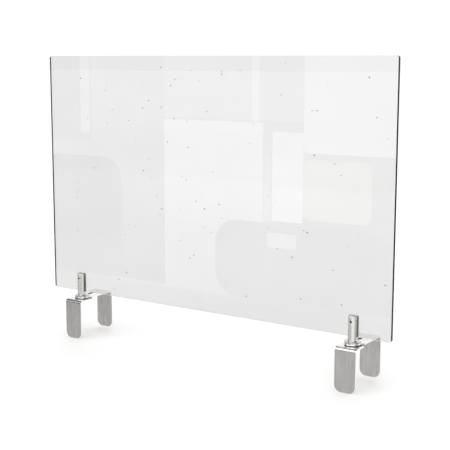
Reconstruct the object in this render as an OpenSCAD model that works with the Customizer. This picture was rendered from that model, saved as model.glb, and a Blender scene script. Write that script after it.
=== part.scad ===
// Clear desk privacy panel held by two clamps that straddle the top of a desk divider.
// Each clamp is a pair of stacked L brackets under a slotted round post.
// +X runs along the panel, -Y is the front and Z = 0 is the level of the front leg tips.

/* [Panel] */
// Length of the clear panel along the divider
panel_w = 736.6; // [450:0.1:1200]
// Height of the clear panel
panel_h = 457.2; // [250:0.1:700]
// Thickness of the clear sheet
panel_t = 6; // [4:0.5:6.5]
// Radius of the clear sheet's four corners
corner_r = 4; // [1:0.5:10]
// Distance between the centres of the two clamps
clamp_spacing = 597.2; // [300:0.1:700]

/* [Brackets] */
// Width of each bracket
bracket_w = 38.5; // [34:0.5:60]
// Height of each bracket from its leg tip to the top of its tab
bracket_h = 75.8; // [60:0.1:100]
// Thickness of the bracket plate
plate_t = 3; // [2.5:0.5:4]
// Inside radius of the bend between leg and tab
bend_r = 2.6; // [1.5:0.1:3]
// Radius of the two lower corners of each leg
tip_r = 12; // [4:1:16]
// Clear gap between the two legs, as set
jaw_gap = 88.9; // [84:0.1:92]
// Distance from the front leg's outer face to the centre of the post
post_setback = 25.8; // [25:0.1:27]

/* [Post] */
// Diameter of the slotted post
post_d = 16.6; // [16:0.1:18]
// Height of the post above the panel's lower edge
post_grip = 35; // [28:1:45]
// Height of the set screw above the panel's lower edge
set_screw_rise = 25.8; // [18:0.1:27]
// Thickness of the dark lining between post and panel
liner_t = 0.7; // [0.5:0.1:1]

/* [Hidden] */
$fn = 96;

// Play between faces that slide on each other, and radial play round a screw's thread
slide_gap = 0.1;
thread_gap = 0.05;
// Overrun of a cutting shape past the face that it cuts
cut = 1;

// Front to back: outer faces of the two legs, the post's axis and the panel's mid plane, which lies
// behind that axis so that the front cheek is thick enough to hold the set screw
slot_offset = 1.5;
front_y = -(jaw_gap + 2 * plate_t) / 2;
rear_y = -front_y;
post_y = front_y + post_setback;
panel_y = post_y + slot_offset;

// Stack of one clamp, from the floor up
shim_t = 1.3;
collar_t = 1.8;
post_base_h = 7;
front_tab_z = bracket_h;
rear_tab_z = front_tab_z + shim_t + slide_gap;
collar_z = rear_tab_z + plate_t + slide_gap;
post_z = collar_z + collar_t;
slot_z = post_z + post_base_h;
liner_base = 0.9;
panel_z = slot_z + liner_base + 2 * slide_gap;
post_top = panel_z + post_grip;

// Slot in the post: the panel, with the lining and its play on both sides. The lining's rear wall
// stands out past the post at its sides and its top
liner_half = panel_t / 2 + slide_gap + liner_t;
slot_half = liner_half + slide_gap;
liner_side_proud = 0.9;
liner_top_proud = 0.4;
liner_front_w = 14;
liner_rear_w = post_d + 2 * liner_side_proud;
post_chamfer = 0.6;

// How far the rear jaw slides in and out from where it is set
jaw_in = 29;
jaw_out = 5;

// Sleeve round the clamp screw, and the long slot that slides on it and stops the jaw at both ends
sleeve_d = 6.8;
slot_w = sleeve_d + 2 * slide_gap;
slot_front = post_y - jaw_out - slot_w / 2 - slide_gap;
slot_rear = post_y + jaw_in + slot_w / 2 + slide_gap;

// Round front end of the rear tab, the shoulders where the tab widens, and the shim under it
nose_r = 13.6;
shoulder_y = post_y + nose_r / 2;
shoulder_r = 2;
shim_r = nose_r - 0.2;

// Set screw M4 x 4 with its soft tip, in the front cheek of the post
set_d = 4;
set_l = 4;
set_hex = 2;
set_hex_depth = 1.5;
tip_d = 3.2;
tip_l = 0.65;
tip_gap = 0.05;
tip_y = panel_y - liner_half - tip_gap;
set_y = tip_y - tip_l - tip_gap;
set_z = panel_z + set_screw_rise;

// Clamp screw M5 x 16 with a round head, and its washer, under the front tab
screw_d = 5;
screw_l = 16;
screw_hex = 3;
screw_hex_depth = 1.7;
head_d = 9.5;
head_h = 2.75;
head_crown = 1;
head_edge_h = 1;
washer_d = 10;
washer_t = 1;
clearance_d = 5.5;
washer_z = front_tab_z - plate_t - slide_gap - washer_t;
head_z = washer_z - slide_gap;

// Outline with parallel sides along Y and round ends
module stadium(width, from_y, to_y) {
    r = width / 2;
    translate([0, from_y + r]) circle(r = r);
    translate([0, to_y - r]) circle(r = r);
    translate([-r, from_y + r]) square([width, to_y - from_y - width]);
}

// Rectangle with four round corners, centred on X, standing on Y = 0
module rounded_rectangle(width, height, r) {
    translate([-width / 2, r]) square([width, height - 2 * r]);
    translate([r - width / 2, 0]) square([width - 2 * r, height]);
    for (x = [r - width / 2, width / 2 - r], y = [r, height - r])
        translate([x, y]) circle(r = r);
}

// Rectangle with two round lower corners, centred on X, standing on Y = 0
module leg_outline(width, height, r) {
    difference() {
        translate([-width / 2, 0]) square([width, height]);
        for (side = [-1, 1])
            difference() {
                translate([side * width / 2 - r, -cut]) square([2 * r, r + cut]);
                translate([side * (width / 2 - r), r]) circle(r = r);
            }
    }
}

// Leg with the bend at its top, standing on Z = 0 with its outer face on Y = 0
module bent_leg() {
    outer_r = bend_r + plate_t;
    translate([0, plate_t, 0])
        rotate([90, 0, 0])
            linear_extrude(plate_t) leg_outline(bracket_w, bracket_h - outer_r, tip_r);
    translate([-bracket_w / 2, outer_r, bracket_h - outer_r])
        rotate([90, 0, 90])
            linear_extrude(bracket_w)
                difference() {
                    circle(r = outer_r);
                    circle(r = bend_r);
                    translate([0, -2 * outer_r]) square(4 * outer_r);
                    translate([-2 * outer_r, -4 * outer_r]) square(4 * outer_r);
                }
}

module clear_panel() {
    color([0.93, 0.95, 0.95, 0.35])
        translate([0, panel_y + panel_t / 2, panel_z])
            rotate([90, 0, 0])
                linear_extrude(panel_t) rounded_rectangle(panel_w, panel_h, corner_r);
}

// U of thin soft sheet that lines the post's slot; its rear wall is wider than the post
module slot_liner() {
    base_z = slot_z + slide_gap;
    color("#55585a")
        translate([0, panel_y, base_z]) {
            translate([-liner_rear_w / 2, liner_half - liner_t, 0])
                cube([liner_rear_w, liner_t, post_top + liner_top_proud - base_z]);
            translate([-liner_front_w / 2, -liner_half, 0])
                cube([liner_front_w, 2 * liner_half - liner_t, liner_base]);
            translate([-liner_front_w / 2, -liner_half, 0])
                cube([liner_front_w, liner_t, post_top - base_z]);
        }
}

// Round post with the slot for the panel, a tapped base and a tapped front cheek
module post() {
    r = post_d / 2;
    color("#b9bab3")
        difference() {
            translate([0, post_y, 0])
                rotate_extrude()
                    polygon([[0, post_z], [r, post_z], [r, post_top - post_chamfer],
                        [r - post_chamfer, post_top], [0, post_top]]);
            translate([-post_d, panel_y - slot_half, slot_z])
                cube([2 * post_d, 2 * slot_half, post_top]);
            translate([0, post_y, post_z - cut])
                cylinder(d = screw_d, h = post_base_h + 2 * cut);
            translate([0, post_y, set_z])
                rotate([90, 0, 0]) cylinder(d = set_d, h = post_d);
        }
}

// Headless screw with a hexagon socket
module set_screw() {
    color("#55565a")
        translate([0, set_y, set_z])
            rotate([90, 0, 0])
                difference() {
                    cylinder(d = set_d - 2 * thread_gap, h = set_l);
                    translate([0, 0, set_l - set_hex_depth])
                        cylinder(d = set_hex / cos(30), h = set_hex_depth + cut, $fn = 6);
                }
}

// Soft disc at the end of the set screw, which bears on the lining
module pressure_tip() {
    color("#e8e4d8")
        translate([0, tip_y, set_z])
            rotate([90, 0, 0]) cylinder(d = tip_d, h = tip_l);
}

// Round collar under the post, over the rear bracket's round end
module collar() {
    color("#a9aaa4")
        translate([0, post_y, collar_z])
            difference() {
                cylinder(r = nose_r, h = collar_t);
                translate([0, 0, -cut]) cylinder(d = clearance_d, h = collar_t + 2 * cut);
            }
}

// Round sleeve on the shim, which the rear bracket's slot slides along
module guide_sleeve() {
    color("#9b9388")
        translate([0, post_y, front_tab_z + shim_t])
            difference() {
                cylinder(d = sleeve_d, h = plate_t);
                translate([0, 0, -cut]) cylinder(d = clearance_d, h = plate_t + 2 * cut);
            }
}

// Thin dark disc between the two tabs, which gives them grip
module grip_shim() {
    color("#1d1e20")
        translate([0, post_y, front_tab_z])
            difference() {
                cylinder(r = shim_r, h = shim_t);
                translate([0, 0, -cut]) cylinder(d = clearance_d, h = shim_t + 2 * cut);
            }
}

// Lower L: its leg is the fixed jaw, and its tab ends in a half circle round the post's axis
module front_bracket() {
    bend_end = front_y + bend_r + plate_t;
    color("#aba8a4") {
        translate([0, front_y, 0]) bent_leg();
        translate([0, 0, front_tab_z - plate_t])
            linear_extrude(plate_t)
                difference() {
                    union() {
                        translate([-bracket_w / 2, bend_end]) square([bracket_w, post_y - bend_end]);
                        translate([0, post_y]) circle(d = bracket_w);
                    }
                    translate([0, post_y]) circle(d = clearance_d);
                }
    }
}

// Upper L: its leg is the sliding jaw, and its tab narrows to a round end and has a long slot
module rear_bracket() {
    bend_end = rear_y - bend_r - plate_t;
    color("#a4a29e") {
        translate([0, rear_y, rear_tab_z + plate_t - bracket_h])
            mirror([0, 1, 0]) bent_leg();
        translate([0, 0, rear_tab_z])
            linear_extrude(plate_t)
                difference() {
                    union() {
                        translate([-bracket_w / 2, shoulder_y]) square([bracket_w, bend_end - shoulder_y]);
                        translate([0, post_y]) circle(r = nose_r);
                        translate([-nose_r, post_y]) square([2 * nose_r, shoulder_y - post_y]);
                        for (side = [-1, 1])
                            translate([side * nose_r, shoulder_y - shoulder_r])
                                difference() {
                                    translate([-shoulder_r, 0]) square([2 * shoulder_r, shoulder_r]);
                                    translate([side * shoulder_r, 0]) circle(r = shoulder_r);
                                }
                    }
                    stadium(slot_w, slot_front, slot_rear);
                }
    }
}

module clamp_washer() {
    color("#c2c3c4")
        translate([0, post_y, washer_z])
            difference() {
                cylinder(d = washer_d, h = washer_t);
                translate([0, 0, -cut]) cylinder(d = clearance_d, h = washer_t + 2 * cut);
            }
}

// Screw from below, through the tabs and collar, into the base of the post
module clamp_screw() {
    head_r = head_d / 2;
    shank_r = screw_d / 2 - thread_gap;
    color("#8b8d90")
        translate([0, post_y, head_z])
            difference() {
                rotate_extrude()
                    polygon([[0, -head_h], [head_r - head_crown, -head_h], [head_r, -head_edge_h],
                        [head_r, 0], [shank_r, 0], [shank_r, screw_l], [0, screw_l]]);
                translate([0, 0, -head_h - cut])
                    cylinder(d = screw_hex / cos(30), h = screw_hex_depth + cut, $fn = 6);
            }
}

// Moves a clamp piece to the left (-1) or the right (1) clamp
module at_clamp(side) {
    translate([side * clamp_spacing / 2, 0, 0]) children();
}

clear_panel();
at_clamp(-1) slot_liner();  // left_slot_liner
at_clamp(-1) post();  // left_post
at_clamp(-1) set_screw();  // left_set_screw
at_clamp(-1) pressure_tip();  // left_pressure_tip
at_clamp(-1) collar();  // left_collar
at_clamp(-1) guide_sleeve();  // left_guide_sleeve
at_clamp(-1) grip_shim();  // left_grip_shim
at_clamp(-1) front_bracket();  // left_front_bracket
at_clamp(-1) rear_bracket();  // left_rear_bracket
at_clamp(-1) clamp_washer();  // left_clamp_washer
at_clamp(-1) clamp_screw();  // left_clamp_screw
at_clamp(1) slot_liner();  // right_slot_liner
at_clamp(1) post();  // right_post
at_clamp(1) set_screw();  // right_set_screw
at_clamp(1) pressure_tip();  // right_pressure_tip
at_clamp(1) collar();  // right_collar
at_clamp(1) guide_sleeve();  // right_guide_sleeve
at_clamp(1) grip_shim();  // right_grip_shim
at_clamp(1) front_bracket();  // right_front_bracket
at_clamp(1) rear_bracket();  // right_rear_bracket
at_clamp(1) clamp_washer();  // right_clamp_washer
at_clamp(1) clamp_screw();  // right_clamp_screw
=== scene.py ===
import math
import random

import bmesh
import bpy
from mathutils import Matrix, Vector


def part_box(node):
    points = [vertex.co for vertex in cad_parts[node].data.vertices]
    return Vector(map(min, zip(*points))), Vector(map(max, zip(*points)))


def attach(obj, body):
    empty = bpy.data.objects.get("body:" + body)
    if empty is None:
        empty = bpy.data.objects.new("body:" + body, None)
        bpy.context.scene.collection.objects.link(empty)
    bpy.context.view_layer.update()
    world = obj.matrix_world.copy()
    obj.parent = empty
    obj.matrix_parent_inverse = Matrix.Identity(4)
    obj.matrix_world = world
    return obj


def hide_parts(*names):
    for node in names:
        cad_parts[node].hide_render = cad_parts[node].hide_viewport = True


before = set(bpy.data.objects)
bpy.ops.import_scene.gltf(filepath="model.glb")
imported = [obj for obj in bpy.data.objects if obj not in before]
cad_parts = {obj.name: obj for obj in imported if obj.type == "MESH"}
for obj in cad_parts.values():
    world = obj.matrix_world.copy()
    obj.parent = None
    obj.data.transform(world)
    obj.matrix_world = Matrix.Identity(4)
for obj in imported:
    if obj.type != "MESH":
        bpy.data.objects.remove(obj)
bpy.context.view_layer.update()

MM = 0.001
SIDES = ("left", "right")

# Sizes that a node's box doesn't give
CORNER_R = 4 * MM
PLATE_T = 3 * MM
BEND_R = 2.6 * MM
TIP_R = 12 * MM
SHOULDER_R = 2 * MM
JAW_IN = 29 * MM
JAW_OUT = 5 * MM
SCREW_HOLE_R = 2.75 * MM
TAP_R = 2.5 * MM
POST_BASE_H = 7 * MM
LINER_T = 0.7 * MM
LINER_BASE = 0.9 * MM
LINER_FRONT_W = 14 * MM
LINER_TOP_PROUD = 0.4 * MM
HEX_SET = 2 * MM
HEX_CLAMP = 3 * MM
PLAY = 0.1 * MM
BORE_PLAY = 0.05 * MM

# Fineness of round shapes
CORNER_STEPS = 6
FILLET_STEPS = 8
BEND_STEPS = 14
ARC_STEPS = 24
SMALL_LATHE_STEPS = 48
LATHE_STEPS = 96
POST_STEPS = 128

# Camera: yaw, pitch and roll, and its aim from the middle of the sheet's lower front edge
CAMERA_ANGLES = (34.33, 9.15, 0.076)
CAMERA_AIM_X = 0.0442
CAMERA_AIM_RISE = 0.1628
CAMERA_DISTANCE = 1.807
CAMERA_LENS = 82.04
CAMERA_SENSOR = 36

# Studio light
SKY_STRENGTH = 1.03
SUN_STRENGTH = 0.5
SUN_SPREAD = 90
SOFTBOX_POWER = 10


# ---------------------------------------------------------------- outlines and solids

def arc(cx, cy, r, start_deg, end_deg, steps=ARC_STEPS):
    """Points along an arc, ends included."""
    angles = [math.radians(start_deg + (end_deg - start_deg) * i / steps) for i in range(steps + 1)]
    return [(cx + r * math.cos(a), cy + r * math.sin(a)) for a in angles]


def circle(cx, cy, r):
    """Outline of a full circle, whose last point isn't repeated."""
    return arc(cx, cy, r, 0, 360, 2 * ARC_STEPS)[:-1]


def stadium(cx, width, y0, y1):
    """Outline with straight sides along Y and round ends."""
    r = width / 2
    return arc(cx, y1 - r, r, 0, 180) + arc(cx, y0 + r, r, 180, 360)


def rounded_rect(x0, y0, x1, y1, r):
    """Outline of a rectangle with four round corners."""
    corners = ((x1 - r, y0 + r, -90), (x1 - r, y1 - r, 0), (x0 + r, y1 - r, 90), (x0 + r, y0 + r, 180))
    outline = []
    for cx, cy, start in corners:
        outline += arc(cx, cy, r, start, start + 90, CORNER_STEPS)
    return outline


def plate(outline, holes, thickness):
    """A flat plate in XY from Z = 0 up, open at its holes, as a bmesh."""
    bm = bmesh.new()
    rings = [outline] + list(holes)
    for ring in rings:
        verts = [bm.verts.new((x, y, 0)) for x, y in ring]
        for a, b in zip(verts, verts[1:] + verts[:1]):
            bm.edges.new((a, b))
    bmesh.ops.triangle_fill(bm, edges=bm.edges[:], use_beauty=True, use_dissolve=False, normal=(0, 0, -1))
    grown = bmesh.ops.extrude_face_region(bm, geom=bm.faces[:])
    top = [v for v in grown["geom"] if isinstance(v, bmesh.types.BMVert)]
    bmesh.ops.translate(bm, verts=top, vec=(0, 0, thickness))
    bmesh.ops.recalc_face_normals(bm, faces=bm.faces[:])
    return bm


def lathe(profile, steps=LATHE_STEPS):
    """A solid turned about Z from (radius, z) points that start and end on the axis."""
    bm = bmesh.new()
    rings = []
    for r, z in profile:
        if r == 0:
            rings.append([bm.verts.new((0, 0, z))])
            continue
        angles = [2 * math.pi * i / steps for i in range(steps)]
        rings.append([bm.verts.new((r * math.cos(a), r * math.sin(a), z)) for a in angles])
    for low, high in zip(rings, rings[1:]):
        for i in range(steps):
            j = (i + 1) % steps
            corners = [low[i % len(low)], low[j % len(low)], high[j % len(high)], high[i % len(high)]]
            face = list(dict.fromkeys(corners))
            if len(face) > 2:
                bm.faces.new(face)
    bmesh.ops.recalc_face_normals(bm, faces=bm.faces[:])
    return bm


def threaded_shank(radius, pitch, length, depth, start_z=0.0):
    """A closed cylinder with a right-hand helical thread, from start_z up.

    The thread runs in over half a turn, and out over the last turn."""
    steps = SMALL_LATHE_STEPS
    rows_a_turn = 8
    rows = max(rows_a_turn, int(length / pitch * rows_a_turn))
    bm = bmesh.new()
    rings = []
    for k in range(rows + 1):
        z = start_z + length * k / rows
        fade = min(1, (length - (z - start_z)) / pitch, (z - start_z) / pitch * 2)
        ring = []
        for i in range(steps):
            a = 2 * math.pi * i / steps
            phase = ((z - start_z) / pitch - i / steps) % 1
            groove = abs(2 * phase - 1)
            r = radius - depth * (1 - groove * fade)
            ring.append(bm.verts.new((r * math.cos(a), r * math.sin(a), z)))
        rings.append(ring)
    for low, high in zip(rings, rings[1:]):
        for i in range(steps):
            j = (i + 1) % steps
            bm.faces.new((low[i], low[j], high[j], high[i]))
    bm.faces.new(rings[0][::-1])
    bm.faces.new(rings[-1])
    bmesh.ops.recalc_face_normals(bm, faces=bm.faces[:])
    return bm


def hex_prism(across_flats, depth, point):
    """A hexagonal cutter from Z = -depth to Z = +depth, with a drilled point under it."""
    bm = bmesh.new()
    r = across_flats / 2 / math.cos(math.radians(30))
    low = [bm.verts.new((r * math.cos(a), r * math.sin(a), -depth))
           for a in [math.radians(60 * i) for i in range(6)]]
    high = [bm.verts.new((v.co.x, v.co.y, depth)) for v in low]
    tip = bm.verts.new((0, 0, -depth - point))
    bm.faces.new(high)
    for i in range(6):
        j = (i + 1) % 6
        bm.faces.new((low[i], low[j], high[j], high[i]))
        bm.faces.new((low[j], low[i], tip))
    bmesh.ops.recalc_face_normals(bm, faces=bm.faces[:])
    return bm


def to_object(name, bm):
    """An object made from the bmesh, which is freed."""
    mesh = bpy.data.meshes.new(name)
    bm.to_mesh(mesh)
    bm.free()
    obj = bpy.data.objects.new(name, mesh)
    bpy.context.scene.collection.objects.link(obj)
    return obj


def bake_modifiers(obj):
    """Applies every modifier by taking the evaluated mesh."""
    evaluated = obj.evaluated_get(bpy.context.evaluated_depsgraph_get())
    mesh = bpy.data.meshes.new_from_object(evaluated)
    obj.modifiers.clear()
    obj.data = mesh


def cut_away(obj, cutters):
    """Takes the cutters' shapes out of obj, and removes the cutters."""
    for cutter in cutters:
        mod = obj.modifiers.new("cut", "BOOLEAN")
        mod.operation = "DIFFERENCE"
        mod.solver = "EXACT"
        mod.object = cutter
    bake_modifiers(obj)
    for cutter in cutters:
        bpy.data.objects.remove(cutter, do_unlink=True)


def soften(obj, width, angle_deg=35, segments=3):
    """Rounds the sharp edges, then shades the faces smooth up to the angle."""
    bevel = obj.modifiers.new("bevel", "BEVEL")
    bevel.width = width
    bevel.segments = segments
    bevel.limit_method = "ANGLE"
    bevel.angle_limit = math.radians(angle_deg)
    bevel.use_clamp_overlap = True
    bake_modifiers(obj)
    smooth(obj)


def smooth(obj, angle_deg=40):
    """Shades the faces smooth up to the angle, with normals that favour the large faces."""
    for polygon in obj.data.polygons:
        polygon.use_smooth = True
    obj.data.set_sharp_from_angle(angle=math.radians(angle_deg))
    weighted = obj.modifiers.new("weighted", "WEIGHTED_NORMAL")
    weighted.keep_sharp = True


def box(lo, hi):
    """A cuboid from its lowest to its highest corner, as a bmesh."""
    bm = bmesh.new()
    bmesh.ops.create_cube(bm, size=1)
    centre = (Vector(lo) + Vector(hi)) / 2
    span = Vector(hi) - Vector(lo)
    for v in bm.verts:
        v.co = Vector((v.co.x * span.x, v.co.y * span.y, v.co.z * span.z)) + centre
    return bm


def add_shape(obj, extra_bm):
    """Adds a second closed shape to a piece's mesh."""
    extra = bpy.data.meshes.new("extra")
    extra_bm.to_mesh(extra)
    extra_bm.free()
    bm = bmesh.new()
    bm.from_mesh(obj.data)
    bm.from_mesh(extra)
    bm.to_mesh(obj.data)
    bm.free()


def place(bm, matrix):
    """Moves the whole bmesh by the matrix."""
    bmesh.ops.transform(bm, matrix=matrix, verts=bm.verts[:])
    return bm


def mark_faces(obj, name, chosen):
    """Writes 1 in the face attribute of that name where chosen says so, for the materials to read."""
    marks = obj.data.attributes.new(name, "FLOAT", "FACE")
    for polygon in obj.data.polygons:
        marks.data[polygon.index].value = 1.0 if chosen(polygon) else 0.0


def stands_for(obj, node, body, material, slot):
    """Puts a finished piece in its CAD node's place."""
    obj.data.materials.clear()
    obj.data.materials.append(material)
    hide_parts(node)
    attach(obj, body)


# ---------------------------------------------------------------- materials

class Graph:
    """A small help for building a node material."""

    def __init__(self, name):
        self.material = bpy.data.materials.new(name)
        self.material.use_nodes = True
        self.tree = self.material.node_tree
        self.shader = self.tree.nodes["Principled BSDF"]
        self.coords = self.tree.nodes.new("ShaderNodeTexCoord").outputs["Object"]

    def node(self, kind, **values):
        made = self.tree.nodes.new(kind)
        for key, value in values.items():
            setattr(made, key, value)
        return made

    def link(self, source, target):
        self.tree.links.new(source, target)

    def noise(self, stretch, detail=2.0, roughness=0.5):
        mapping = self.node("ShaderNodeMapping")
        mapping.inputs["Scale"].default_value = stretch
        self.link(self.coords, mapping.inputs["Vector"])
        texture = self.node("ShaderNodeTexNoise")
        texture.inputs["Scale"].default_value = 1.0
        texture.inputs["Detail"].default_value = detail
        texture.inputs["Roughness"].default_value = roughness
        self.link(mapping.outputs["Vector"], texture.inputs["Vector"])
        return texture.outputs["Fac"]

    def remap(self, source, low, high, from_low=0.3, from_high=0.7):
        ranged = self.node("ShaderNodeMapRange")
        ranged.inputs["From Min"].default_value = from_low
        ranged.inputs["From Max"].default_value = from_high
        ranged.inputs["To Min"].default_value = low
        ranged.inputs["To Max"].default_value = high
        self.link(source, ranged.inputs["Value"])
        return ranged.outputs["Result"]

    def add(self, a, b):
        total = self.node("ShaderNodeMath", operation="ADD")
        self.link(a, total.inputs[0])
        self.link(b, total.inputs[1])
        return total.outputs["Value"]

    def mix(self, factor, low, high):
        """A colour between two colours, which may be sockets or values."""
        mixed = self.node("ShaderNodeMix", data_type="RGBA")
        self.link(factor, mixed.inputs["Factor"])
        for value, socket in ((low, mixed.inputs["A"]), (high, mixed.inputs["B"])):
            if hasattr(value, "links"):
                self.link(value, socket)
            else:
                socket.default_value = (*value, 1)
        return mixed.outputs["Result"]

    def mix_value(self, factor, low, high):
        """A number between two numbers, which may be sockets or values."""
        mixed = self.node("ShaderNodeMix", data_type="FLOAT")
        self.link(factor, mixed.inputs["Factor"])
        for value, socket in ((low, mixed.inputs["A"]), (high, mixed.inputs["B"])):
            if hasattr(value, "links"):
                self.link(value, socket)
            else:
                socket.default_value = value
        return mixed.outputs["Result"]

    def mark(self, name):
        """A face attribute of the mesh, such as mark_faces writes."""
        return self.node("ShaderNodeAttribute", attribute_name=name).outputs["Fac"]

    def bump(self, height, strength, distance):
        bump = self.node("ShaderNodeBump")
        bump.inputs["Strength"].default_value = strength
        bump.inputs["Distance"].default_value = distance
        self.link(height, bump.inputs["Height"])
        self.link(bump.outputs["Normal"], self.shader.inputs["Normal"])


def brushed_steel():
    """Brushed plate: grain along the strip, cloudy patches, smoother rims painted bright as a highlight,
    and slot walls painted dark as shade.
    """
    g = Graph("brushed_steel")
    grain = g.noise((2600, 22, 22), 3, 0.6)
    streaks = g.noise((420, 14, 14), 2)
    bands = g.noise((150, 40, 40), 3)
    clouds = g.noise((40, 30, 30), 3)
    rim = g.mark("rim")
    painted_slot_shade = g.mark("painted_slot_shade")
    face = g.mix(g.remap(grain, 0, 1), (0.60, 0.58, 0.56), (0.68, 0.66, 0.64))
    face = g.mix(g.remap(streaks, 0, 0.8), face, (0.79, 0.77, 0.75))
    face = g.mix(g.remap(bands, 0, 0.45), face, (0.53, 0.508, 0.49))
    # the rims are smoother than the faces, and their near white colour is a painted highlight
    rim_highlighted = g.mix(rim, face, (0.90, 0.895, 0.88))
    # the walls of the slot are painted near black, as the shade inside it
    g.link(g.mix(painted_slot_shade, rim_highlighted, (0.07, 0.07, 0.068)), g.shader.inputs["Base Color"])
    rough = g.add(g.remap(grain, 0.19, 0.28), g.remap(clouds, -0.03, 0.04))
    g.link(g.mix_value(painted_slot_shade, g.mix_value(rim, rough, 0.2), 0.6), g.shader.inputs["Roughness"])
    g.shader.inputs["Metallic"].default_value = 1.0
    g.bump(grain, 0.25, 0.00004)
    return g.material


def satin_metal(name, dark, pale):
    """Turned and satin finished metal between two tones, painted black inside a tapped bore as the shade in
    the hole.
    """
    g = Graph(name)
    rings = g.noise((60, 60, 5200), 2)
    clouds = g.noise((90, 90, 60), 3)
    painted_bore_shade = g.mark("painted_bore_shade")
    face = g.mix(g.remap(rings, 0, 1), dark, pale)
    # inside the bore the colour is painted near black, as shade
    g.link(g.mix(painted_bore_shade, face, (0.02, 0.02, 0.02)), g.shader.inputs["Base Color"])
    rough = g.add(g.remap(rings, 0.20, 0.28), g.remap(clouds, -0.02, 0.05))
    g.link(g.mix_value(painted_bore_shade, rough, 0.6), g.shader.inputs["Roughness"])
    g.shader.inputs["Metallic"].default_value = 1.0
    g.bump(rings, 0.15, 0.00003)
    return g.material


def thin_sheet(name, dark, pale):
    """Thin matt soft sheet between two tones."""
    g = Graph(name)
    cloth = g.noise((1500, 1500, 1500), 2)
    clouds = g.noise((70, 70, 70), 3)
    g.link(g.mix(g.remap(clouds, 0, 1), dark, pale), g.shader.inputs["Base Color"])
    g.link(g.remap(cloth, 0.5, 0.72), g.shader.inputs["Roughness"])
    g.bump(cloth, 0.3, 0.00006)
    return g.material


def dark_steel():
    """Black oxide of the set screws."""
    g = Graph("dark_steel")
    speckle = g.noise((900, 900, 900), 3)
    g.link(g.mix(g.remap(speckle, 0, 1), (0.015, 0.015, 0.016), (0.035, 0.034, 0.033)),
           g.shader.inputs["Base Color"])
    g.link(g.remap(speckle, 0.35, 0.55), g.shader.inputs["Roughness"])
    g.shader.inputs["Metallic"].default_value = 1.0
    g.bump(speckle, 0.15, 0.00003)
    return g.material


def plated_steel():
    """Zinc plate of the clamp screws and their washers."""
    g = Graph("plated_steel")
    cloud = g.noise((260, 260, 260), 3)
    tint = g.noise((120, 120, 120), 2)
    face = g.mix(g.remap(cloud, 0, 1), (0.56, 0.57, 0.585), (0.70, 0.705, 0.71))
    g.link(g.mix(g.remap(tint, 0, 0.3), face, (0.66, 0.62, 0.50)), g.shader.inputs["Base Color"])
    g.link(g.remap(cloud, 0.2, 0.38), g.shader.inputs["Roughness"])
    g.shader.inputs["Metallic"].default_value = 1.0
    return g.material


def nylon():
    """Natural, slightly translucent nylon of the soft tips."""
    g = Graph("nylon")
    cloud = g.noise((400, 400, 400), 3)
    g.link(g.mix(g.remap(cloud, 0, 1), (0.74, 0.72, 0.65), (0.84, 0.82, 0.76)),
           g.shader.inputs["Base Color"])
    g.link(g.remap(cloud, 0.38, 0.55), g.shader.inputs["Roughness"])
    g.shader.inputs["Subsurface Weight"].default_value = 0.2
    g.shader.inputs["Subsurface Radius"].default_value = (0.001, 0.001, 0.0008)
    return g.material


def clear_acrylic():
    """Clear cast sheet with a faint grey tint and a little handling haze."""
    g = Graph("clear_acrylic")
    haze = g.noise((5, 5, 7), 4, 0.6)
    smears = g.noise((60, 60, 14), 3)
    g.link(g.mix(g.remap(haze, 0, 1), (0.742, 0.746, 0.744), (0.768, 0.771, 0.768)),
           g.shader.inputs["Base Color"])
    g.link(g.remap(smears, 0.0, 0.02), g.shader.inputs["Roughness"])
    g.shader.inputs["IOR"].default_value = 1.49
    g.shader.inputs["Transmission Weight"].default_value = 1.0
    return g.material


def end_faces_painted_dark():
    """The sheet's upright end faces, painted near black as the dark reflection they show from the front."""
    g = Graph("end_faces_painted_dark")
    saw = g.noise((30, 900, 2600), 2)
    g.link(g.mix(g.remap(saw, 0, 1), (0.004, 0.004, 0.004), (0.010, 0.010, 0.010)),
           g.shader.inputs["Base Color"])
    g.link(g.remap(saw, 0.12, 0.3), g.shader.inputs["Roughness"])
    g.shader.inputs["Specular IOR Level"].default_value = 0.04
    g.bump(saw, 0.1, 0.00003)
    return g.material


def fleck():
    """The dark specks in the sheet."""
    g = Graph("fleck")
    cloud = g.noise((700, 700, 700), 2)
    g.link(g.mix(g.remap(cloud, 0, 1), (0.10, 0.10, 0.10), (0.2, 0.2, 0.19)), g.shader.inputs["Base Color"])
    g.link(g.remap(cloud, 0.4, 0.6), g.shader.inputs["Roughness"])
    return g.material


def pale_floor():
    """Matt, nearly white studio floor."""
    g = Graph("pale_floor")
    cloud = g.noise((1.2, 1.2, 1.2), 3)
    g.link(g.mix(g.remap(cloud, 0, 1), (0.905, 0.903, 0.90), (0.93, 0.928, 0.925)),
           g.shader.inputs["Base Color"])
    g.link(g.remap(cloud, 0.55, 0.7), g.shader.inputs["Roughness"])
    return g.material


# ---------------------------------------------------------------- pieces

def build_panel(edge_material, sheet_material):
    """The clear sheet, with round corners, slightly rounded edges and upright ends painted dark as a
    reflection.
    """
    lo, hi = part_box("clear_panel")
    outline = rounded_rect(lo.x, lo.z, hi.x, hi.z, CORNER_R)
    stand_up = Matrix.Translation((0, hi.y, 0)) @ Matrix.Rotation(math.pi / 2, 4, "X")
    sheet = to_object("sheet", place(plate(outline, [], hi.y - lo.y), stand_up))
    soften(sheet, 0.35 * MM, segments=2)
    sheet.data.materials.append(sheet_material)
    sheet.data.materials.append(edge_material)
    # the ends, painted dark as a reflection, reach a little way into the round corners
    for polygon in sheet.data.polygons:
        on_end = abs(polygon.normal.x) > 0.35 and abs(polygon.normal.z) < 0.4
        polygon.material_index = 1 if on_end else 0
    # light falls through the clear sheet on what stands behind it
    sheet.visible_shadow = False
    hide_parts("clear_panel")
    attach(sheet, "panel")


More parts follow.
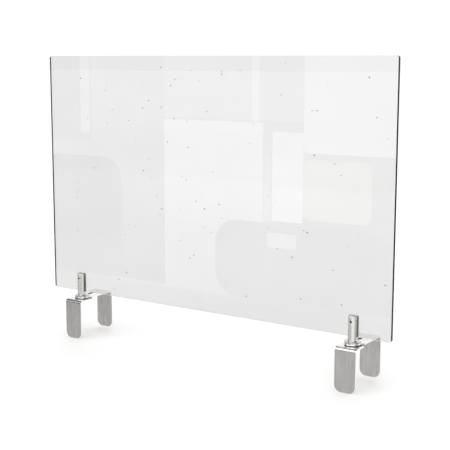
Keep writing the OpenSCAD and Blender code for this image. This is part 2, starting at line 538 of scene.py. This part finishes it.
def build_flecks(material):
    """Fine dark specks cast into the sheet, as one piece."""
    lo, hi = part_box("clear_panel")
    draw = random.Random(11)
    count = 88
    margin = 12 * MM
    skin = 1.2 * MM
    bm = bmesh.new()
    for _ in range(count):
        size = draw.uniform(0.75, 1.15) * MM * draw.choice((1, 1, 1, 1.25))
        x = draw.uniform(lo.x + margin, hi.x - margin)
        y = draw.uniform(lo.y + skin, hi.y - skin)
        z = draw.uniform(lo.z + margin, hi.z - margin)
        made = bmesh.ops.create_icosphere(bm, subdivisions=2, radius=size)
        spin = Matrix.Rotation(draw.uniform(0, math.pi), 4, "Y")
        squeeze = Matrix.Diagonal((draw.uniform(0.7, 1.2), 0.5, draw.uniform(0.7, 1.2), 1))
        bmesh.ops.transform(bm, matrix=Matrix.Translation((x, y, z)) @ spin @ squeeze, verts=made["verts"])
    flecks = to_object("sheet_flecks", bm)
    smooth(flecks, 180)
    flecks.data.materials.append(material)
    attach(flecks, "panel")


def folded(flat_bm, name, leg_length, tip_z, outer_y, inward, in_slot=lambda x, s: False):
    """Folds a flat strip, whose Y runs from the leg tip, up the leg, round the bend and along the tab.

    Faces on its rim are marked for a painted highlight, and so are those that in_slot finds inside the
    slot, for painted shade on its walls."""
    outer_r = BEND_R + PLATE_T
    straight = leg_length - outer_r
    bend_length = math.pi / 2 * (BEND_R + PLATE_T / 2)
    edge_r = 0.5 * MM
    obj = to_object(name, flat_bm)
    soften(obj, edge_r)
    bm = bmesh.new()
    bm.from_mesh(obj.data)
    for k in range(BEND_STEPS + 1):
        s = straight + bend_length * k / BEND_STEPS
        bmesh.ops.bisect_plane(bm, geom=bm.verts[:] + bm.edges[:] + bm.faces[:], dist=1e-7,
                               plane_co=(0, s, 0), plane_no=(0, 1, 0))
    rim = bm.faces.layers.float.new("rim")
    painted_slot_shade = bm.faces.layers.float.new("painted_slot_shade")
    for face in bm.faces:
        centre = face.calc_center_median()
        # rim faces get the steel's painted highlight
        face[rim] = 0.0 if abs(face.normal.z) > 0.9 else 1.0
        # faces on the slot's walls are marked for painted shade
        face[painted_slot_shade] = face[rim] if in_slot(centre.x, centre.y) else 0.0
    centre_z = tip_z + straight
    for v in bm.verts:
        s, w = v.co.y, v.co.z
        if s <= straight:
            depth, z = w, tip_z + s
        elif s <= straight + bend_length:
            angle = (s - straight) / bend_length * math.pi / 2
            depth = outer_r - (outer_r - w) * math.cos(angle)
            z = centre_z + (outer_r - w) * math.sin(angle)
        else:
            depth = outer_r + (s - straight - bend_length)
            z = centre_z + outer_r - w
        v.co = Vector((v.co.x, outer_y + inward * depth, z))
    bmesh.ops.recalc_face_normals(bm, faces=bm.faces[:])
    bm.to_mesh(obj.data)
    bm.free()
    smooth(obj)
    return obj


def flat_length(tab_length):
    """How much longer the unfolded strip is than its leg is tall."""
    outer_r = BEND_R + PLATE_T
    return math.pi / 2 * (BEND_R + PLATE_T / 2) - 2 * outer_r + tab_length


def tip_corners(centre_x, half):
    """The two round corners at the leg's tip, from left to right."""
    return (arc(centre_x - half + TIP_R, TIP_R, TIP_R, 180, 270)
            + arc(centre_x + half - TIP_R, TIP_R, TIP_R, 270, 360))


def build_front_bracket(side, centre_x):
    """Its tab ends in a half circle round the post's axis."""
    lo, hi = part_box(f"{side}_front_bracket")
    half = (hi.x - lo.x) / 2
    height = hi.z - lo.z
    hole_s = height + flat_length(hi.y - lo.y) - half
    outline = tip_corners(centre_x, half) + arc(centre_x, hole_s, half, 0, 180, 2 * ARC_STEPS)
    bm = plate(outline, [circle(centre_x, hole_s, SCREW_HOLE_R)], PLATE_T)
    return folded(bm, f"{side}_fixed_jaw", height, lo.z, lo.y, 1)


def build_rear_bracket(side, centre_x):
    """Its tab narrows to a strap with a round end, and has a long slot for the sleeve."""
    lo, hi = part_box(f"{side}_rear_bracket")
    collar_lo, collar_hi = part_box(f"{side}_collar")
    sleeve_lo, sleeve_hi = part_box(f"{side}_guide_sleeve")
    half = (hi.x - lo.x) / 2
    nose_r = (collar_hi.x - collar_lo.x) / 2
    slot_w = sleeve_hi.x - sleeve_lo.x + 2 * PLAY
    height = hi.z - lo.z
    post_s = height + flat_length(hi.y - lo.y) - nose_r
    shoulder_s = post_s - nose_r / 2
    corner = 0.8 * MM
    fillet_s = shoulder_s + SHOULDER_R
    outline = (tip_corners(centre_x, half)
               + arc(centre_x + half - corner, shoulder_s - corner, corner, 0, 90, CORNER_STEPS)
               + arc(centre_x + nose_r + SHOULDER_R, fillet_s, SHOULDER_R, 270, 180, FILLET_STEPS)
               + arc(centre_x, post_s, nose_r, 0, 180, 2 * ARC_STEPS)
               + arc(centre_x - nose_r - SHOULDER_R, fillet_s, SHOULDER_R, 0, -90, FILLET_STEPS)
               + arc(centre_x - half + corner, shoulder_s - corner, corner, 90, 180, CORNER_STEPS))
    slot_start = post_s - JAW_IN - slot_w / 2 - PLAY
    slot_end = post_s + JAW_OUT + slot_w / 2 + PLAY
    wall = 0.6 * MM

    # faces round the slot, whose walls get painted shade
    def in_slot(x, s):
        return abs(x - centre_x) < slot_w / 2 + wall and slot_start - wall < s < slot_end + wall

    bm = plate(outline, [stadium(centre_x, slot_w, slot_start, slot_end)], PLATE_T)
    return folded(bm, f"{side}_sliding_jaw", height, lo.z, hi.y, -1, in_slot)


def ring(name, node, bevel):
    """A flat ring as wide as its node, with a hole for the clamp screw."""
    lo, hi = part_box(node)
    centre = (lo + hi) / 2
    outer_r = (hi.x - lo.x) / 2
    bm = plate(circle(centre.x, centre.y, outer_r), [circle(centre.x, centre.y, SCREW_HOLE_R)], hi.z - lo.z)
    place(bm, Matrix.Translation((0, 0, lo.z)))
    obj = to_object(name, bm)
    soften(obj, bevel)
    # rim faces, which get the painted highlight where the steel is used
    mark_faces(obj, "rim", lambda polygon: abs(polygon.normal.z) < 0.9)
    return obj


def build_post(side, centre_x, post_y):
    """Round post with the slot for the sheet, the set screw's bore and the tapped base."""
    lo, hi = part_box(f"{side}_post")
    r = (hi.x - lo.x) / 2
    round_r = 0.9 * MM
    chamfer = 0.4 * MM
    profile = ([(0, lo.z), (r - chamfer, lo.z), (r, lo.z + chamfer)]
               + arc(r - round_r, hi.z - round_r, round_r, 0, 90, CORNER_STEPS) + [(0, hi.z)])
    turned = place(lathe(profile, POST_STEPS), Matrix.Translation((centre_x, post_y, 0)))
    post = to_object(f"{side}_slotted_post", turned)
    liner_lo, liner_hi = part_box(f"{side}_slot_liner")
    slot = to_object("slot_cutter", box((lo.x - r, liner_lo.y - PLAY, lo.z + POST_BASE_H),
                                        (hi.x + r, liner_hi.y + PLAY, hi.z + r)))
    screw_lo, screw_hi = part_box(f"{side}_set_screw")
    screw_r = (screw_hi.z - screw_lo.z) / 2 + BORE_PLAY
    bore_profile = [(0, 0), (screw_r, 0), (screw_r, 2 * r), (0, 2 * r)]
    bore = to_object("bore_cutter", lathe(bore_profile, SMALL_LATHE_STEPS))
    screw_z = (screw_lo.z + screw_hi.z) / 2
    bore.data.transform(Matrix.Rotation(math.pi / 2, 4, "X"))
    bore.data.transform(Matrix.Translation((centre_x, post_y, screw_z)))
    base_profile = [(0, 0), (TAP_R, 0), (TAP_R, 3 * r), (0, 3 * r)]
    base = to_object("base_cutter", lathe(base_profile, SMALL_LATHE_STEPS))
    base.data.transform(Matrix.Translation((centre_x, post_y, lo.z - r)))
    cut_away(post, [slot, bore, base])
    soften(post, 0.22 * MM, angle_deg=45, segments=2)
    bevelled_rim = 0.15 * MM
    reach = screw_r + bevelled_rim
    # faces inside the set screw's bore, which the metal paints black as shade
    mark_faces(post, "painted_bore_shade", lambda polygon: polygon.center.y < post_y
               and math.hypot(polygon.center.x - centre_x, polygon.center.z - screw_z) < reach)
    return post


def build_liner(side, centre_x):
    """A U of thin sheet, open at the top, whose rear wall is wider and taller than its front wall."""
    lo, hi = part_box(f"{side}_slot_liner")
    depth = hi.y - lo.y
    front_top = hi.z - lo.z - LINER_TOP_PROUD
    bend = 0.6 * MM
    outline = (arc(bend, bend, bend, 180, 270, CORNER_STEPS)
               + [(depth - LINER_T, 0), (depth - LINER_T, LINER_BASE), (LINER_T, LINER_BASE),
                  (LINER_T, front_top), (0, front_top)])
    start_x = centre_x - LINER_FRONT_W / 2
    across = Matrix(((0, 0, 1, start_x), (1, 0, 0, lo.y), (0, 1, 0, lo.z), (0, 0, 0, 1)))
    liner = to_object(f"{side}_lining", place(plate(outline, [], LINER_FRONT_W), across))
    add_shape(liner, box((lo.x, hi.y - LINER_T, lo.z), hi))
    soften(liner, 0.12 * MM, segments=2)
    return liner


def build_set_screw(side, centre_x):
    """Headless screw: threaded body and a hexagon socket with a drilled point."""
    lo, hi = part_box(f"{side}_set_screw")
    r = (hi.z - lo.z) / 2
    length = hi.y - lo.y
    pitch = 0.7 * MM
    thread_depth = 0.25 * MM
    socket_depth = 1.5 * MM
    drill_point = 0.5 * MM
    screw = to_object(f"{side}_grub_screw", threaded_shank(r, pitch, length, thread_depth))
    socket = to_object("socket_cutter", hex_prism(HEX_SET, socket_depth, drill_point))
    socket.data.transform(Matrix.Translation((0, 0, length)))
    cut_away(screw, [socket])
    # its socket end faces the front, so its length runs along -Y
    turn = Matrix.Rotation(math.pi / 2, 4, "X")
    screw.data.transform(Matrix.Translation((centre_x, hi.y, (lo.z + hi.z) / 2)) @ turn)
    soften(screw, 0.1 * MM, angle_deg=50, segments=2)
    return screw


def build_pressure_tip(side, centre_x):
    """Soft round disc between the set screw and the lining."""
    lo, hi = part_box(f"{side}_pressure_tip")
    r = (hi.z - lo.z) / 2
    t = hi.y - lo.y
    round_r = t * 0.35
    steps = 5
    profile = ([(0, 0)] + arc(r - round_r, round_r, round_r, -90, 0, steps)
               + arc(r - round_r, t - round_r, round_r, 0, 90, steps) + [(0, t)])
    tip = to_object(f"{side}_soft_tip", lathe(profile, SMALL_LATHE_STEPS))
    turn = Matrix.Rotation(math.pi / 2, 4, "X")
    tip.data.transform(Matrix.Translation((centre_x, hi.y, (lo.z + hi.z) / 2)) @ turn)
    smooth(tip)
    return tip


def build_clamp_screw(side, centre_x, post_y):
    """Round-head screw: domed head with a hexagon socket, and a threaded shank."""
    lo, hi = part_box(f"{side}_clamp_screw")
    head_r = (hi.x - lo.x) / 2
    head_h = 2.75 * MM
    thread_r = 2.45 * MM
    thread_depth = 0.35 * MM
    root_r = thread_r * 0.86
    pitch = 0.8 * MM
    socket_depth = 1.6 * MM
    drill_point = 0.6 * MM
    overlap = 0.02 * MM
    rim_h = 0.7 * MM
    dome_reach = 1.9 * MM
    dome_steps = 12
    flat_r = head_r - dome_reach
    dome = []
    for i in range(dome_steps + 1):
        a = math.pi / 2 * i / dome_steps
        dome.append((flat_r + (head_r - flat_r) * math.sin(a), (head_h - rim_h) * (1 - math.cos(a))))
    profile = [(0, 0)] + dome + [(head_r, head_h), (root_r, head_h), (0, head_h)]
    head = to_object(f"{side}_round_head_screw", lathe(profile))
    socket = to_object("socket_cutter", hex_prism(HEX_CLAMP, socket_depth, drill_point))
    socket.data.transform(Matrix.Rotation(math.pi, 4, "X"))
    cut_away(head, [socket])
    shank = threaded_shank(thread_r, pitch, hi.z - lo.z - head_h, thread_depth, head_h - overlap)
    add_shape(head, shank)
    head.data.transform(Matrix.Translation((centre_x, post_y, lo.z)))
    smooth(head, 35)
    return head


def build_clamp(side, looks):
    """All the pieces of one clamp: the post, fixed jaw, collar, sleeve and shim on the clamp's body, each
    other piece on a body of its own.
    """
    post_lo, post_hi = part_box(f"{side}_post")
    cx = (post_lo.x + post_hi.x) / 2
    py = (post_lo.y + post_hi.y) / 2
    body = f"{side}_clamp"
    stands_for(build_post(side, cx, py), f"{side}_post", body, looks["satin"], "satin_aluminium")
    pieces = ((build_front_bracket(side, cx), "front_bracket", body, "steel", "brushed_steel"),
              (build_rear_bracket(side, cx), "rear_bracket", f"{side}_rear_jaw", "steel", "brushed_steel"),
              (build_liner(side, cx), "slot_liner", f"{side}_liner", "liner", "dark_liner"),
              (build_set_screw(side, cx), "set_screw", f"{side}_screw", "dark_steel", "dark_screw_steel"),
              (build_pressure_tip(side, cx), "pressure_tip", f"{side}_tip", "nylon", "nylon"),
              (build_clamp_screw(side, cx, py), "clamp_screw", f"{side}_bolt", "plated", "plated_steel"))
    for obj, piece, piece_body, look, slot in pieces:
        stands_for(obj, f"{side}_{piece}", piece_body, looks[look], slot)

    rings = (("collar", body, "collar", "satin_aluminium", 0.25 * MM),
             ("guide_sleeve", body, "steel", "brushed_steel", 0.1 * MM),
             ("grip_shim", body, "shim", "dark_liner", 0.1 * MM),
             ("clamp_washer", f"{side}_washer", "plated", "plated_steel", 0.15 * MM))
    for piece, ring_body, look, slot, bevel in rings:
        node = f"{side}_{piece}"
        stands_for(ring(f"{node}_ring", node, bevel), node, ring_body, looks[look], slot)


# ---------------------------------------------------------------- studio

def make_camera():
    """A long lens from the front right, a little above, aimed low on the sheet."""
    yaw, pitch, roll = (math.radians(a) for a in CAMERA_ANGLES)
    sheet_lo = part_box("clear_panel")[0]
    aim = Vector((CAMERA_AIM_X, sheet_lo.y, sheet_lo.z + CAMERA_AIM_RISE))
    forward = Vector((-math.sin(yaw) * math.cos(pitch), math.cos(yaw) * math.cos(pitch), -math.sin(pitch)))
    right = Vector((math.cos(yaw), math.sin(yaw), 0))
    up = right.cross(forward)
    right, up = (math.cos(roll) * right + math.sin(roll) * up, math.cos(roll) * up - math.sin(roll) * right)
    camera = bpy.data.objects.new("camera", bpy.data.cameras.new("camera"))
    camera.data.sensor_width = CAMERA_SENSOR
    camera.data.lens = CAMERA_LENS
    turn = Matrix((right, up, -forward)).transposed().to_4x4()
    camera.matrix_world = Matrix.Translation(aim - CAMERA_DISTANCE * forward) @ turn
    camera.data.clip_start = 0.05
    camera.data.clip_end = 60
    bpy.context.scene.collection.objects.link(camera)
    bpy.context.scene.camera = camera


def make_floor(material):
    """A pale floor that ends in the white studio light."""
    bm = bmesh.new()
    reach = 40.0
    corners = ((-reach, -reach), (reach, -reach), (reach, reach), (-reach, reach))
    bm.faces.new([bm.verts.new((x, y, 0)) for x, y in corners])
    floor = to_object("floor", bm)
    floor.data.materials.append(material)
    floor.visible_glossy = False


def glow(name, strength, colour, foot=None):
    """Even light, or with a foot of (z, strength, top z), light that fades downwards to that strength."""
    material = bpy.data.materials.new(name)
    material.use_nodes = True
    tree = material.node_tree
    tree.nodes.remove(tree.nodes["Principled BSDF"])
    emission = tree.nodes.new("ShaderNodeEmission")
    emission.inputs["Color"].default_value = (*colour, 1)
    emission.inputs["Strength"].default_value = strength
    if foot:
        coords = tree.nodes.new("ShaderNodeTexCoord")
        split = tree.nodes.new("ShaderNodeSeparateXYZ")
        ranged = tree.nodes.new("ShaderNodeMapRange")
        foot_z, foot_strength, top_z = foot
        ranged.inputs["From Min"].default_value = foot_z
        ranged.inputs["From Max"].default_value = top_z
        ranged.inputs["To Min"].default_value = foot_strength
        ranged.inputs["To Max"].default_value = strength
        tree.links.new(coords.outputs["Object"], split.inputs["Vector"])
        tree.links.new(split.outputs["Z"], ranged.inputs["Value"])
        tree.links.new(ranged.outputs["Result"], emission.inputs["Strength"])
    tree.links.new(emission.outputs["Emission"], tree.nodes["Material Output"].inputs["Surface"])
    return material


def hang_card(name, outline, matrix, strength, colour=(1, 1, 1), foot=None):
    """A flat studio card, placed by the matrix, that only shows as a reflection."""
    bm = bmesh.new()
    bm.faces.new([bm.verts.new((a, b, 0)) for a, b in outline])
    card = to_object(name, place(bm, matrix))
    card.data.materials.append(glow(name + "_glow", strength, colour, foot))
    card.visible_camera = False
    card.visible_diffuse = False
    card.visible_transmission = False
    card.visible_shadow = False


def upright(y):
    """Stands a flat outline up at that Y, facing the sheet."""
    return Matrix.Translation((0, y, 0)) @ Matrix.Rotation(math.pi / 2, 4, "X")


def make_area(name, location, target, size, power):
    """A soft rectangular lamp that no camera or mirror sees."""
    lamp = bpy.data.lights.new(name, "AREA")
    lamp.shape = "RECTANGLE"
    lamp.size, lamp.size_y = size
    lamp.energy = power
    obj = bpy.data.objects.new(name, lamp)
    obj.location = location
    obj.rotation_euler = (Vector(target) - Vector(location)).to_track_quat("-Z", "Y").to_euler()
    obj.visible_camera = False
    obj.visible_glossy = False
    bpy.context.scene.collection.objects.link(obj)


def make_sun(strength, spread_deg):
    """Wide light from straight above, for the soft shadows."""
    lamp = bpy.data.lights.new("sky_sun", "SUN")
    lamp.energy = strength
    lamp.angle = math.radians(spread_deg)
    obj = bpy.data.objects.new("sky_sun", lamp)
    obj.visible_glossy = False
    bpy.context.scene.collection.objects.link(obj)


def light_studio():
    """A white sky, a wide sun and one softbox at the front right."""
    world = bpy.data.worlds.new("world")
    bpy.context.scene.world = world
    world.use_nodes = True
    background = world.node_tree.nodes["Background"]
    background.inputs["Color"].default_value = (1, 1, 1, 1)
    background.inputs["Strength"].default_value = SKY_STRENGTH
    make_sun(SUN_STRENGTH, SUN_SPREAD)
    softbox_place = (1.8, -2.6, 1.6)
    softbox_aim = (0, 0, 0.2)
    softbox_size = (1.4, 1.4)
    make_area("front_softbox", softbox_place, softbox_aim, softbox_size, SOFTBOX_POWER)
    bpy.context.scene.view_settings.view_transform = "Standard"


def hang_cards():
    """What the sheet mirrors, a grey room with paler doors and a bench, and what the metal mirrors."""
    # each layer hangs a little nearer the sheet than the one before
    wall = upright(-0.60)
    layer = upright(-0.59)
    front_layer = upright(-0.58)
    picture_layer = upright(-0.57)
    far_front = upright(-3.0)
    far_rear = upright(2.5)
    far_side = upright(-2.5)
    overhead = Matrix.Translation((-1.0, 0, 3.0))
    soft = 0.03
    top = 1.35
    cream = (1.0, 0.94, 0.80)
    wall_foot = (0.0, 0.1, 0.42)
    door_foot = (0.0, 1.45, 0.39)
    hang_card("room_wall", rounded_rect(-1.30, -0.03, 0.14, top, 0.01), wall, 1.5, foot=wall_foot)
    hang_card("room_left", rounded_rect(-1.30, 0.33, -0.77, top, 0.01), layer, 0.7)
    hang_card("room_upper_middle", rounded_rect(-0.528, 0.40, -0.126, top, 0.01), layer, 2.05)
    hang_card("room_upper_right", rounded_rect(-0.125, 0.33, 0.13, top, 0.01), layer, 3.2)
    hang_card("room_door", rounded_rect(-0.528, -0.03, -0.235, 0.395, 0.006), layer, 3.1, foot=door_foot)
    hang_card("room_post", rounded_rect(-0.232, 0.16, -0.212, 0.38, 0.002), layer, 1.5)
    hang_card("room_window", rounded_rect(-0.209, 0.165, -0.1255, 0.375, 0.006), layer, 3.05)
    hang_card("room_shelf", rounded_rect(-0.1245, 0.175, 0.05, 0.315, 0.02), layer, 2.05, cream)
    hang_card("room_left_strip", rounded_rect(-0.798, 0.35, -0.765, 0.60, 0.01), front_layer, 1.9)
    hang_card("room_middle_strip", rounded_rect(-0.26, 0.40, -0.24, top, 0.006), front_layer, 3.0)
    hang_card("room_left_block", rounded_rect(-1.10, -0.03, -0.66, 0.29, 0.06), front_layer, 0.02)
    hang_card("room_bench", rounded_rect(-0.365, -0.03, 0.12, 0.16, 0.06), front_layer, 0.4)
    hang_card("room_picture", rounded_rect(-0.21, 0.105, -0.13, 0.14, 0.004), picture_layer, 1.8)
    # lower down the legs mirror the dim foot of the room
    hang_card("room_foot_left", rounded_rect(-1.30, -0.40, -0.40, -0.035, 0.01), layer, 0.55)
    hang_card("room_foot_right", rounded_rect(-0.395, -0.40, 0.30, -0.035, 0.01), layer, 0.6)
    hang_card("dark_ceiling", rounded_rect(-6.5, -3.4, 5.0, 2.6, soft), overhead, 0.03)
    hang_card("bright_front", rounded_rect(-7.5, 0.45, 4.0, 1.9, soft), far_front, 2.3)
    hang_card("bright_rear", rounded_rect(-4.0, 0.12, 2.0, 1.1, soft), far_rear, 1.35)
    # seen from the side, the brackets' bright edges mirror these
    for name, sign in (("dim_left", -1), ("dim_right", 1)):
        to_the_side = Matrix.Rotation(sign * math.pi / 2, 4, "Z") @ far_side
        hang_card(name, rounded_rect(-0.9, -0.9, 0.9, 0.9, soft), to_the_side, 0.42)


make_camera()
looks = {"steel": brushed_steel(), "dark_steel": dark_steel(),
         "satin": satin_metal("satin_metal", (0.70, 0.71, 0.67), (0.80, 0.81, 0.77)),
         # the collar is a darker copy of the post's satin metal, as painted shade
         "collar": satin_metal("collar_metal_shaded", (0.46, 0.445, 0.44), (0.58, 0.565, 0.555)),
         "liner": thin_sheet("slot_lining", (0.33, 0.33, 0.33), (0.40, 0.40, 0.397)),
         # the grip shim between the plates is a real part, and its near black also stands in for the shade
         # between them
         "shim": thin_sheet("shim_sheet_and_shade", (0.02, 0.02, 0.021), (0.04, 0.04, 0.041)),
         "plated": plated_steel(), "nylon": nylon()}
build_panel(end_faces_painted_dark(), clear_acrylic())
build_flecks(fleck())
for side in SIDES:
    build_clamp(side, looks)
make_floor(pale_floor())
light_studio()
hang_cards()
